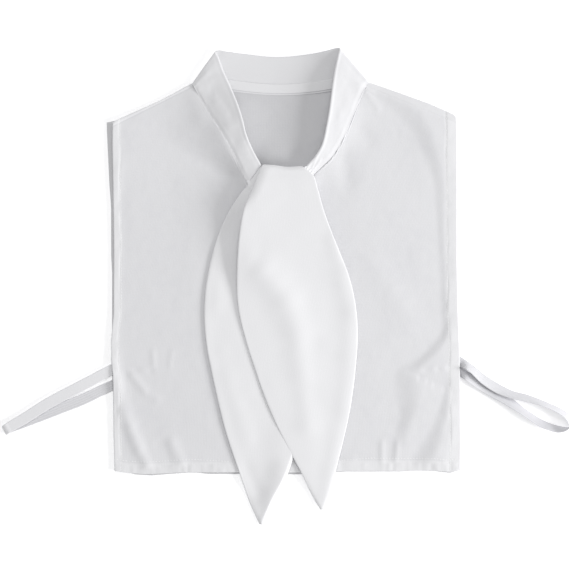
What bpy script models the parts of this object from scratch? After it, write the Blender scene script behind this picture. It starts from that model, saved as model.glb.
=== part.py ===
"""Detachable shirt collar with tie ends, laid flat on a table.

A bib of a front and a back panel, a stand collar, two leaf-shaped tie ends in a
half knot, and an elastic loop at each side.

Tables are in millimetres on the table top: x to the right, y towards the collar,
z up, with the origin under the middle of the garment.
"""
import bpy
import bmesh
import numpy as np

MM = 0.001

# Walls and clearances
PANEL_WALL = 1.2        # hemmed single cloth
DOUBLE_WALL = 1.8       # doubled cloth of the collar and the ties
BUNCH_WALL = 2.6        # cloth gathered inside the half knot
TAPE_WALL = 1.0
TAPE_WIDTH = 11.0
LAY_GAP = 0.4           # between one layer and the next
SEAM_GAP = 0.3

# Outline of the bib: sides as x at y, hem and top line as y at x
LEFT_SIDE = [  # y, x
    (-184.0, -172.2), (-170.0, -172.6), (-116.0, -173.7), (6.0, -172.8), (163.3, -174.0)]
RIGHT_SIDE = [  # y, x
    (-183.0, 172.6), (-103.0, 172.2), (26.0, 169.5), (168.0, 169.2)]
HEM = [  # x, y
    (-172.0, -185.5), (-160.0, -187.8), (-143.0, -188.9), (-99.0, -186.7), (53.0, -185.0),
    (107.0, -185.0), (172.0, -183.3)]
LEFT_SHOULDER = [(-174.0, 163.3), (-170.3, 166.5), (-93.0, 202.0)]
RIGHT_SHOULDER = [(79.5, 203.5), (109.5, 193.5), (141.4, 182.0), (166.9, 171.2), (169.0, 168.0)]
SHOULDER_LINE = [LEFT_SHOULDER[0], LEFT_SHOULDER[-1], RIGHT_SHOULDER[0], RIGHT_SHOULDER[-1]]
FRONT_NECK = [
    (-93.0, 202.0), (-86.0, 188.0), (-79.0, 175.0), (-66.0, 153.5), (-54.0, 134.0),
    (-45.0, 116.0), (-39.0, 102.0), (-24.0, 93.0), (-4.0, 90.0), (14.0, 98.0), (28.0, 112.5),
    (44.0, 127.0), (55.0, 145.5), (64.0, 166.5), (71.0, 186.0), (79.5, 203.5)]
BACK_NECK = [(-93.0, 202.0), (-54.0, 195.5), (-6.0, 191.7), (41.0, 195.5), (79.5, 203.5)]
BACK_LEFT_SIDE = [  # y, x: the back shows past the front near the shoulder
    (-183.0, -171.4), (-116.0, -172.6), (6.0, -172.8), (46.0, -176.5), (86.0, -179.2), (158.0, -179.4)]
BACK_INSET = 0.5        # the back is hidden by this much elsewhere

# The front lies on a thin layer of air, raised at the neck by the standing collar
AIR = 2.5
AIR_FADE = 40.0         # distance in from the edges over which the air layer rises
NECK_RISE = [  # y, rise above the air layer
    (90.0, 6.0), (110.0, 5.5), (140.0, 3.5), (175.0, 1.5), (203.0, 0.0)]
NECK_REACH = 40.0
FRONT_FOLDS = [  # x0, y0, x1, y1, half width, depth
    (113.0, 176.0, 140.0, 146.0, 9.0, 1.2),
    (140.0, 146.0, 154.0, 95.0, 9.0, 1.6),
    (154.0, 95.0, 158.0, -34.0, 9.0, 1.3),
    (126.0, -79.0, 160.0, -46.0, 8.0, 1.8),
    (-60.0, 120.0, -46.0, 100.0, 10.0, 2.0),
    (-104.0, -24.0, -118.0, -77.0, 9.0, 1.2),
    (-156.0, -146.0, -144.0, -176.0, 9.0, 1.4),
    (128.0, -100.0, 144.0, -170.0, 10.0, 1.4)]

# Stand collar: each row is a section from the neck seam to the free top edge. The
# front halves stand and lean inwards, the back lies flat, and it folds at each shoulder.
COLLAR = [  # seam x, y, z, top x, y, z, crown
    (-39.0, 102.0, 12.0, -25.0, 119.5, 17.0, 0.5),
    (-46.0, 117.0, 11.3, -33.5, 135.0, 18.0, 1.2),
    (-54.0, 134.0, 9.9, -40.0, 150.0, 18.5, 1.8),
    (-66.0, 154.5, 8.0, -44.0, 166.0, 18.0, 2.0),
    (-79.0, 175.0, 6.0, -49.5, 183.0, 16.0, 2.0),
    (-87.5, 191.0, 4.7, -57.0, 201.0, 14.5, 1.5),
    (-91.0, 197.5, 4.3, -63.5, 217.0, 11.6, 1.0),
    (-92.2, 200.0, 3.9, -67.5, 228.5, 9.3, 0.5),
    (-93.0, 202.0, 2.6, -69.8, 234.0, 6.5, 0.0),
    (-90.5, 201.8, 1.3, -67.5, 235.2, 4.0, 0.0),
    (-82.0, 200.0, 1.1, -61.0, 234.4, 3.0, 0.0),
    (-54.0, 195.5, 1.1, -42.0, 232.0, 1.8, 0.0),
    (-6.0, 191.7, 1.1, -9.0, 229.0, 1.3, 0.0),
    (41.0, 195.5, 1.1, 25.0, 233.0, 1.8, 0.0),
    (69.0, 201.5, 1.1, 41.0, 236.5, 3.0, 0.0),
    (77.0, 203.5, 1.3, 47.5, 238.0, 4.0, 0.0),
    (79.5, 203.5, 2.6, 50.5, 237.7, 6.5, 0.0),
    (77.5, 200.5, 3.9, 49.5, 230.0, 9.3, 0.5),
    (75.5, 197.0, 4.3, 48.0, 218.0, 11.6, 1.0),
    (71.0, 186.0, 5.0, 45.7, 199.0, 14.5, 1.5),
    (64.0, 167.0, 6.6, 43.3, 181.0, 16.5, 2.0),
    (55.0, 146.5, 8.5, 39.5, 160.0, 18.3, 2.0),
    (44.0, 128.5, 10.1, 33.5, 140.0, 18.5, 1.8),
    (35.0, 119.5, 11.2, 25.5, 128.0, 17.8, 1.0),
    (28.0, 114.0, 12.0, 19.0, 120.0, 16.5, 0.5)]
COLLAR_SEAM = 0.7       # the collar starts this far past the seam line

# Past the hem a tie end comes down to the table
HEM_CLEAR = 5.0         # it stays at the hem's height for this far
HEM_DROP = 18.0         # and comes down over this far

# Tie end that lies under: it leaves the collar's left end and hangs to a point
UNDER_TAIL = [  # left x, y, right x, y, left lift, right lift
    (-38.8, 101.0, -24.7, 118.6, 0.6, 5.0),
    (-51.0, 86.3, -15.0, 96.0, 0.5, 1.0),
    (-65.0, 62.0, 1.0, 71.0, 0.5, 0.8),
    (-76.0, 31.0, 13.0, 36.0, 0.3, 0.3),
    (-82.8, -2.0, 22.0, 1.0, 0.3, 0.3),
    (-84.0, -32.0, 26.0, -32.0, 0.3, 0.3),
    (-80.3, -60.7, 26.0, -61.0, 0.3, 0.3),
    (-73.3, -93.0, 23.0, -94.0, 0.3, 0.3),
    (-60.7, -146.0, 12.0, -146.0, 0.3, 0.3),
    (-46.7, -187.0, -1.8, -187.0, 0.3, 0.3),
    (-36.0, -219.0, -16.5, -217.0, 0.0, 0.0),
    (-27.8, -237.0, -24.4, -237.3, 0.0, 0.0)]

# Tie end that lies over: it comes up through the neck, turns over and hangs to a point
OVER_TAIL = [  # left x, y, right x, y, height, drop at the edges, 1 where it rests
    (-16.0, 106.0, 13.0, 106.0, 6.5, 0.0, 0),
    (-18.0, 114.0, 14.0, 113.5, 8.5, 0.0, 0),
    (-20.5, 119.3, 15.0, 118.0, 14.0, 0.0, 0),
    (-23.8, 120.8, 15.8, 119.2, 18.5, 0.0, 0),
    (-25.5, 118.5, 18.5, 117.0, 22.5, 1.5, 1),
    (-28.5, 110.0, 25.5, 111.5, 24.0, 3.0, 1),
    (-34.0, 95.0, 31.0, 96.0, 24.5, 7.0, 1),
    (-42.0, 79.0, 36.0, 78.0, 22.5, 8.0, 1),
    (-46.4, 59.5, 43.0, 58.0, 19.0, 7.0, 1),
    (-49.0, 34.0, 53.0, 33.0, 14.5, 5.0, 1),
    (-50.2, -4.0, 65.5, -3.0, 10.0, 3.0, 1),
    (-47.7, -28.5, 69.7, -28.0, 7.5, 2.0, 1),
    (-41.3, -54.0, 70.6, -54.0, 5.0, 1.0, 1),
    (-34.0, -77.5, 69.0, -78.0, 0.0, 0.0, 1),
    (-17.2, -123.8, 63.0, -124.0, 0.0, 0.0, 1),
    (2.4, -164.5, 53.5, -166.0, 0.0, 0.0, 1),
    (15.1, -188.3, 47.0, -188.5, 0.0, 0.0, 1),
    (26.0, -211.0, 40.3, -210.0, 0.0, 0.0, 1),
    (33.0, -223.0, 37.0, -223.0, 0.0, 0.0, 1)]
UNDER_EDGE_RUN = 24.0   # it comes down over this far past the edge of the tie end under it
HANG_BLEND = 2.0        # softness of the change from hanging to lying
OVER_RIDGES = [  # x0, y0, x1, y1, half width, height
    (-30.0, 5.0, 0.0, -24.0, 10.0, 1.2),
    (-2.0, -4.0, 22.0, -118.0, 9.0, 1.6),
    (60.0, -30.0, 54.0, -130.0, 8.0, 0.8)]

# Ties bunched inside the half knot, from the collar's right end to its left end
CROSSING = [  # lower x, y, z, upper x, y, z
    (27.6, 113.2, 12.8, 18.5, 119.2, 16.6),
    (20.0, 103.5, 15.5, 11.0, 112.5, 17.0),
    (6.0, 96.0, 17.0, 3.0, 111.5, 17.3),
    (-8.0, 93.5, 17.2, -7.0, 110.0, 17.4),
    (-17.0, 96.0, 17.2, -15.0, 106.0, 17.4)]

# Left loop: pressed flat, from the front's side, folded at its end, back under itself
LEFT_STRAP = [  # upper edge x, y, lower edge x, y, z
    (-174.0, -77.0, -174.0, -88.8, 2.0),
    (-190.0, -85.3, -185.5, -95.3, 2.2),
    (-206.6, -94.0, -201.7, -104.1, 2.4),
    (-242.4, -113.0, -237.0, -122.8, 2.5),
    (-269.1, -130.0, -263.0, -139.0, 2.6),
    (-279.0, -135.9, -274.0, -145.0, 2.8),
    (-283.4, -139.0, -278.7, -147.7, 2.75),
    (-285.0, -140.0, -280.4, -148.7, 1.7),
    (-283.4, -139.0, -278.7, -147.7, 0.75),
    (-279.5, -136.6, -274.5, -146.0, 0.65),
    (-269.4, -132.5, -265.0, -142.6, 0.6),
    (-228.9, -117.1, -224.5, -127.2, 0.6),
    (-202.1, -106.4, -197.7, -116.5, 0.6),
    (-188.0, -99.6, -184.0, -109.5, 0.6),
    (-173.4, -93.0, -173.4, -104.4, 0.6)]

# Right loop: open, its outer edge on the table as far as the tip and its inner edge
# from there, so that the tape stands on edge where it turns
RIGHT_STRAP = [  # table edge x, y, raised edge x, y, table edge z
    (172.2, -69.8, 172.2, -82.0, 2.0),
    (178.5, -73.8, 175.5, -82.0, 1.6),
    (185.0, -78.5, 180.5, -84.6, 1.2),
    (200.0, -90.5, 194.5, -97.6, 0.7),
    (216.0, -100.0, 211.5, -108.2, 0.6),
    (224.5, -104.2, 220.5, -111.5, 0.6),
    (243.0, -109.5, 241.0, -116.5, 0.6),
    (261.5, -117.0, 258.5, -121.5, 0.6),
    (276.5, -124.0, 273.0, -128.8, 0.6),
    (282.3, -128.5, 278.0, -133.0, 0.6),
    (284.8, -135.0, 281.0, -138.5, 0.6),
    (283.0, -140.5, 281.5, -142.0, 0.6),
    (277.5, -141.0, 277.2, -145.1, 0.6),
    (273.0, -140.1, 272.0, -146.3, 0.6),
    (261.0, -136.4, 258.0, -143.0, 0.6),
    (236.0, -120.9, 231.5, -127.2, 0.6),
    (225.5, -112.7, 218.5, -119.3, 0.6),
    (197.9, -95.5, 192.5, -104.5, 0.6),
    (180.5, -85.0, 176.5, -93.0, 0.6),
    (171.9, -79.3, 171.9, -90.3, 0.6)]
STRAP_EASE = 14.0       # distance from its ends over which the loop leaves the flat

WHITE = (0.84, 0.84, 0.85, 1.0)
CLOTH_ROUGHNESS = 0.85


def smooth_step(value):
    """0 below 0, 1 above 1, and an even rise between."""
    value = np.clip(value, 0.0, 1.0)
    return value * value * (3.0 - 2.0 * value)


def at(table, value):
    """The second column of a table, read at values of its first column."""
    columns = np.array(table)
    return np.interp(value, columns[:, 0], columns[:, 1])


def through(table, steps):
    """A smooth curve through a table's rows, with so many steps between two rows."""
    rows = np.array(table, dtype=float)
    distance = np.linalg.norm(np.diff(rows, axis=0), axis=1)
    knots = np.concatenate([[0.0], np.cumsum(distance)])
    slopes = np.gradient(rows, knots, axis=0)
    places = np.arange((len(rows) - 1) * steps + 1)
    row = np.minimum(places // steps, len(rows) - 2)
    part = (places / steps - row)[:, None]
    length = distance[row][:, None]
    rise = part * part * (3.0 - 2.0 * part)
    leave = part * (1.0 - part) ** 2 * length
    arrive = -part * part * (1.0 - part) * length
    between = rows[row] * (1.0 - rise) + rows[row + 1] * rise
    return between + slopes[row] * leave + slopes[row + 1] * arrive


def across(sections, first, second, cells):
    """Points between two columns of edge points, as rows of the section's points."""
    share = np.linspace(0.0, 1.0, cells + 1)[None, :, None]
    start = sections[:, None, first]
    end = sections[:, None, second]
    return start + (end - start) * share


def segment_distance(x, y, fold):
    """Distance of each point from a fold's line, in its half widths."""
    x0, y0, x1, y1, half_width, _ = fold
    run_x = x1 - x0
    run_y = y1 - y0
    share = ((x - x0) * run_x + (y - y0) * run_y) / (run_x ** 2 + run_y ** 2)
    share = np.clip(share, 0.0, 1.0)
    return np.hypot(x - x0 - share * run_x, y - y0 - share * run_y) / half_width


def folds(x, y, table):
    """Size of the soft folds of a table at each point."""
    size = np.zeros_like(x)
    for fold in table:
        size = np.maximum(size, fold[5] * np.exp(-segment_distance(x, y, fold) ** 2))
    return size


def neck_distance(x, y):
    """Distance of each point from the front neckline."""
    line = through(FRONT_NECK, 4)
    away = np.hypot(x[..., None] - line[:, 0], y[..., None] - line[:, 1])
    return away.min(axis=-1)


def front_height(x, y):
    """Height of the middle of the front panel's wall."""
    shoulder = at(SHOULDER_LINE, x) - y
    edge = np.minimum(x - at(LEFT_SIDE, y), at(RIGHT_SIDE, y) - x)
    edge = np.minimum(edge, y - at(HEM, x))
    edge = np.minimum(edge, shoulder)
    inside = smooth_step(edge / AIR_FADE)
    rise = at(NECK_RISE, y) * np.exp(-(neck_distance(x, y) / NECK_REACH) ** 2)
    lift = AIR * inside + rise - folds(x, y, FRONT_FOLDS) * inside
    return 1.5 * PANEL_WALL + LAY_GAP + np.maximum(lift, 0.0)


def tie_ground(x, y):
    """Top of what the ties lie on: the front panel, then the table past the hem."""
    past_hem = smooth_step((at(HEM, x) - HEM_CLEAR - y) / HEM_DROP)
    return (front_height(x, y) + PANEL_WALL / 2) * (1.0 - past_hem)


def cloth_material(name):
    """White woven cloth."""
    material = bpy.data.materials.new(name + "_cloth")
    material.use_nodes = True
    shader = material.node_tree.nodes["Principled BSDF"]
    shader.inputs["Base Color"].default_value = WHITE
    shader.inputs["Roughness"].default_value = CLOTH_ROUGHNESS
    shader.inputs["Metallic"].default_value = 0.0
    return material


def place(name, data, collection):
    """Add an object with its own material to the garment."""
    item = bpy.data.objects.new(name, data)
    data.materials.append(cloth_material(name))
    collection.objects.link(item)
    return item


def sheet(name, points, wall, collection):
    """A wall of cloth round a grid of points in millimetres, rows by columns."""
    rows, columns = points.shape[:2]
    mesh_builder = bmesh.new()
    bmesh.ops.create_grid(mesh_builder, x_segments=columns - 1, y_segments=rows - 1, size=1.0)
    for vertex in mesh_builder.verts:
        column = round((vertex.co.x + 1.0) / 2.0 * (columns - 1))
        row = round((vertex.co.y + 1.0) / 2.0 * (rows - 1))
        vertex.co = points[row, column] * MM
    mesh = bpy.data.meshes.new(name)
    mesh_builder.to_mesh(mesh)
    mesh_builder.free()
    mesh.shade_smooth()
    item = place(name, mesh, collection)
    solidify = item.modifiers.new("wall", "SOLIDIFY")
    solidify.thickness = wall * MM
    solidify.offset = 0.0
    return item


def back_panel(collection):
    """The back of the bib: a flat outline that lies on the table."""
    left = [(x, y) for y, x in BACK_LEFT_SIDE]
    left_shoulder = [(x, y) for x, y in LEFT_SHOULDER[1:-1]]
    neck = [(x, y - SEAM_GAP) for x, y in through(BACK_NECK, 4)]
    right_shoulder = [(x - BACK_INSET, y) for x, y in RIGHT_SHOULDER[1:]]
    right = [(x - BACK_INSET, y) for y, x in reversed(RIGHT_SIDE[1:-1])]
    hem = [(x - BACK_INSET, y + BACK_INSET) for x, y in reversed(HEM[1:])]
    outline = left + left_shoulder + neck + right_shoulder + right + hem
    curve = bpy.data.curves.new("back_panel", "CURVE")
    curve.dimensions = "2D"
    curve.fill_mode = "BOTH"
    curve.extrude = PANEL_WALL / 2 * MM
    spline = curve.splines.new("POLY")
    spline.points.add(len(outline) - 1)
    for point, (x, y) in zip(spline.points, outline):
        point.co = (x * MM, y * MM, 0.0, 1.0)
    spline.use_cyclic_u = True
    item = place("back_panel", curve, collection)
    item.location.z = PANEL_WALL / 2 * MM
    return item


def front_panel(collection):
    """The front of the bib, from the hem to the shoulders and the neckline."""
    top_line = LEFT_SHOULDER[:-1] + FRONT_NECK + RIGHT_SHOULDER[1:]
    left_x, neck_left_x = LEFT_SHOULDER[0][0], LEFT_SHOULDER[-1][0]
    neck_right_x, right_x = RIGHT_SHOULDER[0][0], RIGHT_SHOULDER[-1][0]
    column_x = np.concatenate([
        np.linspace(left_x, neck_left_x, 8)[:-1],
        np.linspace(neck_left_x, neck_right_x, 17)[:-1],
        np.linspace(neck_right_x, right_x, 8)])
    share_x = (column_x - left_x) / (right_x - left_x)
    share_y = np.linspace(0.0, 1.0, 27)[:, None]
    bottom = at(HEM, column_x)
    top = at(top_line, column_x)
    y = bottom + (top - bottom) * share_y
    x = at(LEFT_SIDE, y) * (1.0 - share_x) + at(RIGHT_SIDE, y) * share_x
    points = np.stack([x, y, front_height(x, y)], axis=-1)
    return sheet("front_panel", points, PANEL_WALL, collection)


def collar_band(collection):
    """The stand collar, one strip from tie to tie round the back of the neck."""
    sections = through(COLLAR, 2)
    width = np.linalg.norm(sections[:, 3:6] - sections[:, 0:3], axis=1)
    start = (COLLAR_SEAM / width)[:, None]
    sections[:, 0:3] += (sections[:, 3:6] - sections[:, 0:3]) * start
    points = across(sections, slice(0, 3), slice(3, 6), 5)
    share = np.linspace(0.0, 1.0, 6)
    points[..., 2] += sections[:, 6:7] * 4.0 * share * (1.0 - share)
    return sheet("collar_band", points, DOUBLE_WALL, collection)


def tie_tail_under(collection):
    """The left tie end, on the front panel and past its hem."""
    sections = through(UNDER_TAIL, 2)
    points = across(sections, slice(0, 2), slice(2, 4), 8)
    share = np.linspace(0.0, 1.0, 9)
    lift = sections[:, 4:5] * (1.0 - share) + sections[:, 5:6] * share
    x, y = points[..., 0], points[..., 1]
    z = tie_ground(x, y) + LAY_GAP + DOUBLE_WALL / 2 + lift
    return sheet("tie_tail_under", np.dstack([x, y, z]), DOUBLE_WALL, collection)


def tie_tail_over(collection):
    """The right tie end, turned over the crossing, on the other tie end."""
    sections = through(OVER_TAIL, 2)
    points = across(sections, slice(0, 2), slice(2, 4), 10)
    share = np.linspace(0.0, 1.0, 11)
    x, y = points[..., 0], points[..., 1]
    under_edge = np.array(UNDER_TAIL)[::-1, 2:4]
    past_under = x - np.interp(y, under_edge[:, 1], under_edge[:, 0])
    step = (DOUBLE_WALL + 2 * LAY_GAP) * (1.0 - smooth_step(past_under / UNDER_EDGE_RUN - 0.1))
    rest = tie_ground(x, y) + step + LAY_GAP + DOUBLE_WALL / 2
    hang = sections[:, 4:5] - sections[:, 5:6] * (2.0 * share - 1.0) ** 2
    lying = (rest + hang + np.sqrt((rest - hang) ** 2 + HANG_BLEND)) / 2.0
    lying += folds(x, y, OVER_RIDGES)
    rests = np.round(sections[:, 6:7])
    z = hang * (1.0 - rests) + lying * rests
    return sheet("tie_tail_over", np.dstack([x, y, z]), DOUBLE_WALL, collection)


def tie_crossing(collection):
    """The ties bunched inside the half knot."""
    points = across(through(CROSSING, 3), slice(0, 3), slice(3, 6), 4)
    return sheet("tie_crossing", points, BUNCH_WALL, collection)


def strap_left(collection):
    """The left elastic loop."""
    table = np.array(LEFT_STRAP)
    sections = through(np.column_stack([table[:, :2], table[:, 4], table[:, 2:]]), 2)
    points = across(sections, slice(0, 3), slice(3, 6), 2)
    return sheet("strap_left", points, TAPE_WALL, collection)


def strap_right(collection):
    """The right elastic loop; its raised edge stands as high as the tape's width asks."""
    sections = through(RIGHT_STRAP, 2)
    plan = np.hypot(sections[:, 2] - sections[:, 0], sections[:, 3] - sections[:, 1])
    stand = np.sqrt(np.maximum(TAPE_WIDTH ** 2 - plan ** 2, 0.0))
    run = np.linalg.norm(np.diff(sections[:, :2], axis=0), axis=1)
    distance = np.concatenate([[0.0], np.cumsum(run)])
    from_end = np.minimum(distance, distance[-1] - distance)
    raised = sections[:, 4] + stand * smooth_step(from_end / STRAP_EASE)
    edges = np.column_stack([sections[:, :2], sections[:, 4], sections[:, 2:4], raised])
    points = across(edges, slice(0, 3), slice(3, 6), 3)
    return sheet("strap_right", points, TAPE_WALL, collection)


def main():
    """Clear the scene and make the garment."""
    for item in list(bpy.data.objects):
        bpy.data.objects.remove(item, do_unlink=True)
    garment = bpy.data.collections.new("detachable_collar")
    bpy.context.scene.collection.children.link(garment)
    back_panel(garment)
    front_panel(garment)
    collar_band(garment)
    tie_tail_under(garment)
    tie_tail_over(garment)
    tie_crossing(garment)
    strap_left(garment)
    strap_right(garment)


main()
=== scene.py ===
import math

import bpy
import numpy as np
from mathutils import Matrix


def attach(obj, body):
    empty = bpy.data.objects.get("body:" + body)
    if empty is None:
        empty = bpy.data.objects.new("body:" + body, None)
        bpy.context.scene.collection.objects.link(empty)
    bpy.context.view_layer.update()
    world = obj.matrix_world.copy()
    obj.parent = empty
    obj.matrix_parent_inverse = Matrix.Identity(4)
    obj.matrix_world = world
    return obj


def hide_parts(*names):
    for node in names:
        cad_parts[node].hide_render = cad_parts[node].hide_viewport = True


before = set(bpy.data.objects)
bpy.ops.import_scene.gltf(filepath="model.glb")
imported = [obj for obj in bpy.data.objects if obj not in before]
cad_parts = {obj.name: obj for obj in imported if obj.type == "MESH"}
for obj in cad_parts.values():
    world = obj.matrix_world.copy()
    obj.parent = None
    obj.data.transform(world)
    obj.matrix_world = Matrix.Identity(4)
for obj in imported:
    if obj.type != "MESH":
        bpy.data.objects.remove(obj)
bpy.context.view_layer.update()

# Detachable shirt collar with tie ends, laid flat on a table: x to the right, y towards the
# collar, z up. Lengths of the garment are millimetres; those of the card under it, the camera
# and the lights are metres.
mm = 0.001


def smoothStep(value):
    # 0 below 0, 1 above 1, and 3t^2 - 2t^3 between
    value = np.clip(value, 0.0, 1.0)
    return value * value * (3.0 - 2.0 * value)


def fadeIn(value, start, run):
    # smoothStep of the share of the way from start, over run
    return smoothStep((value - start) / run)


def softMax(first, second, blend):
    # (a + b + sqrt((a - b)^2 + blend)) / 2, the higher of the two with a rounded change
    return (first + second + np.sqrt((first - second) ** 2 + blend)) / 2.0


def softMin(first, second, blend):
    # (a + b - sqrt((a - b)^2 + blend)) / 2, the lower of the two
    return (first + second - np.sqrt((first - second) ** 2 + blend)) / 2.0


def bell(distance, width):
    # exp(-(distance / width)^2)
    return np.exp(-(distance / width) ** 2)


def tableAt(table, value):
    # second column of a table, read straight between the rows of its first column
    columns = np.array(table)
    return np.interp(value, columns[:, 0], columns[:, 1])


def throughRows(table, steps):
    # cubic Hermite curve through the rows, each row's slope taken from its neighbours
    rows = np.array(table, dtype=float)
    distance = np.linalg.norm(np.diff(rows, axis=0), axis=1)
    knots = np.concatenate([[0.0], np.cumsum(distance)])
    slopes = np.gradient(rows, knots, axis=0)
    places = np.arange((len(rows) - 1) * steps + 1)
    row = np.minimum(places // steps, len(rows) - 2)
    part = (places / steps - row)[:, None]
    length = distance[row][:, None]
    rise = part * part * (3.0 - 2.0 * part)
    leave = part * (1.0 - part) ** 2 * length
    arrive = -part * part * (1.0 - part) * length
    between = rows[row] * (1.0 - rise) + rows[row + 1] * rise
    return between + slopes[row] * leave + slopes[row + 1] * arrive


def softNoise(x, y, size, seed):
    # random values from -1 to 1 on a square lattice of this size, blended with smoothStep
    lattice = np.random.RandomState(seed).uniform(-1.0, 1.0, (64, 64))
    column = x / size + 200.0
    row = y / size + 200.0
    left = np.floor(column).astype(int)
    low = np.floor(row).astype(int)
    shareX = smoothStep(column - left)
    shareY = smoothStep(row - low)
    left, right = left % 64, (left + 1) % 64
    low, high = low % 64, (low + 1) % 64
    below = lattice[low, left] * (1.0 - shareX) + lattice[low, right] * shareX
    above = lattice[high, left] * (1.0 - shareX) + lattice[high, right] * shareX
    return below * (1.0 - shareY) + above * shareY


def foldSize(x, y, table):
    # each row is a soft fold on a straight line: size * exp(-(distance / half width)^2),
    # rounded off at both ends; the rows are joined as (sum of fourth powers)^(1/4), so that
    # one fold goes over into the next
    total = np.zeros_like(x)
    for x0, y0, x1, y1, halfWidth, size in table:
        runX, runY = x1 - x0, y1 - y0
        share = ((x - x0) * runX + (y - y0) * runY) / (runX ** 2 + runY ** 2)
        share = np.clip(share, 0.0, 1.0)
        away = np.hypot(x - x0 - share * runX, y - y0 - share * runY)
        total += (size * bell(away, halfWidth)) ** 4
    return total ** 0.25


def creaseSize(x, y, table):
    # a fold with one steep side, on a smooth line through the rows: with d the distance to the
    # right of the line, size * smoothStep(d / run + 1/2) * exp(-(max(d, 0) / back)^2)
    line = throughRows(table, 4)
    ahead = np.gradient(line[:, :2], axis=0)
    least = np.full(x.shape, 1e6)
    total = np.zeros_like(x)
    for first, last, turn, nextTurn in zip(line[:-1], line[1:], ahead[:-1], ahead[1:]):
        stepX, stepY = last[:2] - first[:2]
        share = ((x - first[0]) * stepX + (y - first[1]) * stepY) / (stepX ** 2 + stepY ** 2)
        share = np.clip(share, 0.0, 1.0)
        offX = x - first[0] - share * stepX
        offY = y - first[1] - share * stepY
        away = np.hypot(offX, offY)
        turnX = turn[0] + (nextTurn[0] - turn[0]) * share
        turnY = turn[1] + (nextTurn[1] - turn[1]) * share
        right = away * np.sign(offX * turnY - offY * turnX)
        run, size, back = (first[k] + (last[k] - first[k]) * share for k in (2, 3, 4))
        rise = size * smoothStep(right / run + 0.5) * bell(np.maximum(right, 0.0), back)
        total = np.where(away < least, rise, total)
        least = np.minimum(away, least)
    return total


def rolledEdge(distance, radius):
    # share of the wall left at this distance from an edge: a quarter round over the radius
    part = np.clip(1.0 - distance / radius, 0.0, 1.0)
    return np.maximum(np.sqrt(1.0 - part ** 2), 0.12)


def edgePlaces(length, fine, coarse, reach):
    # places from 0 to length: close together within reach of both ends, wider between
    edge = np.concatenate([[0.0, 0.15, 0.4], np.arange(0.8, reach, fine)])
    count = max(3, int((length - 2.0 * reach) / coarse))
    middle = np.linspace(reach, length - reach, count)
    return np.concatenate([edge, middle, length - edge[::-1]])


def cosinePlaces(cells):
    # shares from 0 to 1, closest together at both ends
    return (1.0 - np.cos(np.linspace(0.0, math.pi, cells + 1))) / 2.0


def between(sections, first, second, shares):
    # straight lines between two edges of every section, a row for each section
    share = shares[None, :, None]
    start = sections[:, None, first]
    end = sections[:, None, second]
    return start + (end - start) * share


def gridNormals(points):
    # cross product of the grid's two directions, scaled to length one
    normal = np.cross(np.gradient(points, axis=1), np.gradient(points, axis=0))
    return normal / np.maximum(np.linalg.norm(normal, axis=-1, keepdims=True), 1e-9)


def gridLengths(points):
    # running lengths across and along the cloth, which the weave follows
    across = np.linalg.norm(np.diff(points, axis=1), axis=-1)
    along = np.linalg.norm(np.diff(points, axis=0), axis=-1)
    u = np.concatenate([np.zeros((len(points), 1)), np.cumsum(across, axis=1)], axis=1)
    v = np.concatenate([np.zeros((1, points.shape[1])), np.cumsum(along, axis=0)], axis=0)
    return u - u.mean(axis=1, keepdims=True), v


def runningLength(points):
    # length along a row of points, 0 at the first
    steps = np.linalg.norm(np.diff(points, axis=0), axis=1)
    return np.concatenate([[0.0], np.cumsum(steps)])


def ripples(x, y, table):
    # sum of height * softNoise over the table's rows: height, size, seed
    return sum(height * softNoise(x, y, size, seed) for height, size, seed in table)


def placeObject(name, data):
    # a new object in the scene's own collection
    item = bpy.data.objects.new(name, data)
    bpy.context.scene.collection.objects.link(item)
    return item


def makeMesh(name, vertices, faces, onCloth, layers):
    # onCloth is each vertex's place on the cloth, in millimetres, kept as its map in metres;
    # layers is 0 on single cloth, 1 on doubled, and on the tape it is the share of its lit tone,
    # with painted shade where it is low
    mesh = bpy.data.meshes.new(name)
    mesh.from_pydata((vertices * mm).tolist(), [], faces)
    loops = np.empty(len(mesh.loops), dtype=np.int32)
    mesh.loops.foreach_get("vertex_index", loops)
    clothMap = mesh.uv_layers.new(name="cloth")
    clothMap.data.foreach_set("uv", (onCloth[loops] * mm).astype(np.float32).ravel())
    doubled = mesh.attributes.new("layers", "FLOAT", "POINT")
    doubled.data.foreach_set("value", layers.astype(np.float32))
    mesh.shade_smooth()
    return placeObject(name, mesh)


def closedSkin(name, top, bottom, clothMap, layers):
    # the top grid, the bottom grid turned over, and a strip of rim along each side
    rows, columns = top.shape[:2]
    over = np.arange(rows * columns).reshape(rows, columns)
    under = over + rows * columns
    corners = [
        (over[:-1, :-1], over[:-1, 1:], over[1:, 1:], over[1:, :-1]),
        (under[:-1, :-1], under[1:, :-1], under[1:, 1:], under[:-1, 1:]),
        (under[0, :-1], under[0, 1:], over[0, 1:], over[0, :-1]),
        (under[-1, 1:], under[-1, :-1], over[-1, :-1], over[-1, 1:]),
        (under[1:, 0], under[:-1, 0], over[:-1, 0], over[1:, 0]),
        (under[:-1, -1], under[1:, -1], over[1:, -1], over[:-1, -1])]
    faces = np.concatenate([np.stack([c.ravel() for c in quad], axis=1) for quad in corners])
    vertices = np.concatenate([top.reshape(-1, 3), bottom.reshape(-1, 3)])
    onCloth = np.tile(np.stack(clothMap, axis=-1).reshape(-1, 2), (2, 1))
    layers = np.broadcast_to(layers, (rows, columns)).ravel()
    return makeMesh(name, vertices, faces.tolist(), onCloth, np.tile(layers, 2))


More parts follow.
